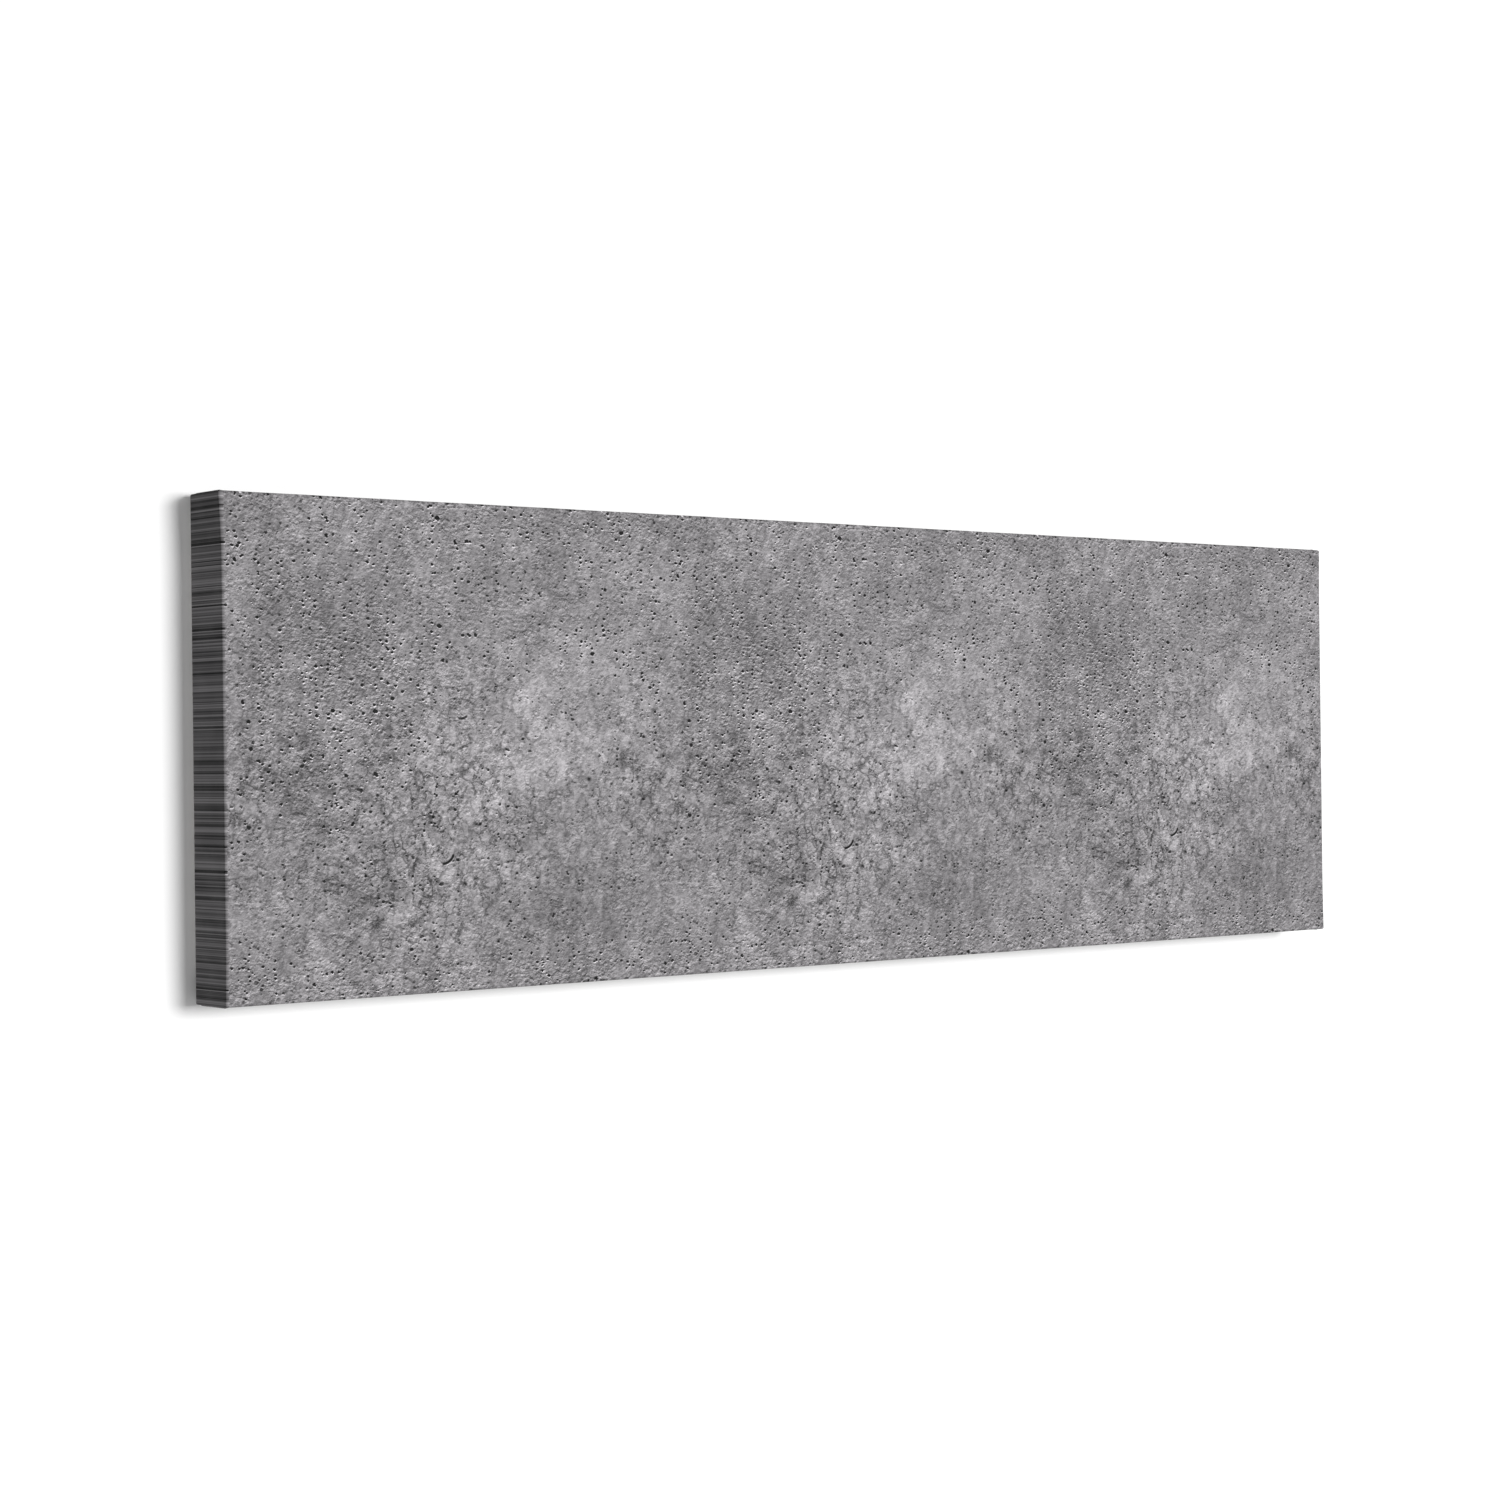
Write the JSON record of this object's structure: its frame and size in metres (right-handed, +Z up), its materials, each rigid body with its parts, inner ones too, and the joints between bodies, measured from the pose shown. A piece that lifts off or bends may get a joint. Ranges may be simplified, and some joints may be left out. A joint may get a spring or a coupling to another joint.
{
  "type": "stretched canvas picture",
  "caption": "Long low picture on canvas, printed to look like bare concrete, wrapped over a keyed wooden stretcher frame, with hanger rings behind for two wall hooks.",
  "frame": {"origin": "midway between the two wall hooks, in the plane of the wall, at the height where the rings sit on the hooks", "axes": "+X to the right seen from the front, along the width; +Y from the picture into the wall, so the print faces -Y; +Z up"},
  "size_m": [1, 0.041, 0.3],
  "materials": {
    "printed_canvas": "matt print on woven canvas",
    "pine": "planed, unfinished",
    "beech": "sawn, unfinished",
    "staple_steel": "galvanised wire",
    "zinc_plated_steel": "bright zinc plate",
    "pad_rubber": "matt"
  },
  "bodies": {
    "picture": {"canvas": "printed_canvas", "top_bar": "pine", "bottom_bar": "pine", "left_bar": "pine", "right_bar": "pine", "centre_brace": "pine", "staples_top": "staple_steel", "staples_bottom": "staple_steel", "staples_left": "staple_steel", "staples_right": "staple_steel", "left_hanger_strap": "zinc_plated_steel", "right_hanger_strap": "zinc_plated_steel", "left_hanger_screws": "zinc_plated_steel", "right_hanger_screws": "zinc_plated_steel", "left_wall_pad": "pad_rubber", "right_wall_pad": "pad_rubber"},
    "key_top_left_across": {"key_top_left_across": "beech"},
    "key_top_left_upright": {"key_top_left_upright": "beech"},
    "key_top_right_across": {"key_top_right_across": "beech"},
    "key_top_right_upright": {"key_top_right_upright": "beech"},
    "key_bottom_left_across": {"key_bottom_left_across": "beech"},
    "key_bottom_left_upright": {"key_bottom_left_upright": "beech"},
    "key_bottom_right_across": {"key_bottom_right_across": "beech"},
    "key_bottom_right_upright": {"key_bottom_right_upright": "beech"},
    "brace_key_top": {"brace_key_top": "beech"},
    "brace_key_bottom": {"brace_key_bottom": "beech"},
    "left_hanger_ring": {"left_hanger_ring": "zinc_plated_steel"},
    "right_hanger_ring": {"right_hanger_ring": "zinc_plated_steel"}
  },
  "joints": [
    {"name": "key_top_left_across_slide", "type": "slide", "parent": "picture", "child": "key_top_left_across", "axis": [1, 0, 0], "range_m": [0, 0.024]},
    {"name": "key_top_left_upright_slide", "type": "slide", "parent": "picture", "child": "key_top_left_upright", "axis": [0, 0, -1], "range_m": [0, 0.024]},
    {"name": "key_top_right_across_slide", "type": "slide", "parent": "picture", "child": "key_top_right_across", "axis": [-1, 0, 0], "range_m": [0, 0.024]},
    {"name": "key_top_right_upright_slide", "type": "slide", "parent": "picture", "child": "key_top_right_upright", "axis": [0, 0, -1], "range_m": [0, 0.024]},
    {"name": "key_bottom_left_across_slide", "type": "slide", "parent": "picture", "child": "key_bottom_left_across", "axis": [1, 0, 0], "range_m": [0, 0.024]},
    {"name": "key_bottom_left_upright_slide", "type": "slide", "parent": "picture", "child": "key_bottom_left_upright", "axis": [0, 0, 1], "range_m": [0, 0.024]},
    {"name": "key_bottom_right_across_slide", "type": "slide", "parent": "picture", "child": "key_bottom_right_across", "axis": [-1, 0, 0], "range_m": [0, 0.024]},
    {"name": "key_bottom_right_upright_slide", "type": "slide", "parent": "picture", "child": "key_bottom_right_upright", "axis": [0, 0, 1], "range_m": [0, 0.024]},
    {"name": "brace_key_top_slide", "type": "slide", "parent": "picture", "child": "brace_key_top", "axis": [1, 0, 0], "range_m": [0, 0.024]},
    {"name": "brace_key_bottom_slide", "type": "slide", "parent": "picture", "child": "brace_key_bottom", "axis": [-1, 0, 0], "range_m": [0, 0.024]},
    {"name": "left_ring_hinge", "type": "hinge", "parent": "picture", "child": "left_hanger_ring", "pos_m": [-0.468, -0.00341, -0.01], "axis": [-1, 0, 0], "range_deg": [0, 175]},
    {"name": "right_ring_hinge", "type": "hinge", "parent": "picture", "child": "right_hanger_ring", "pos_m": [0.468, -0.00341, -0.01], "axis": [-1, 0, 0], "range_deg": [0, 175]}
  ]
}
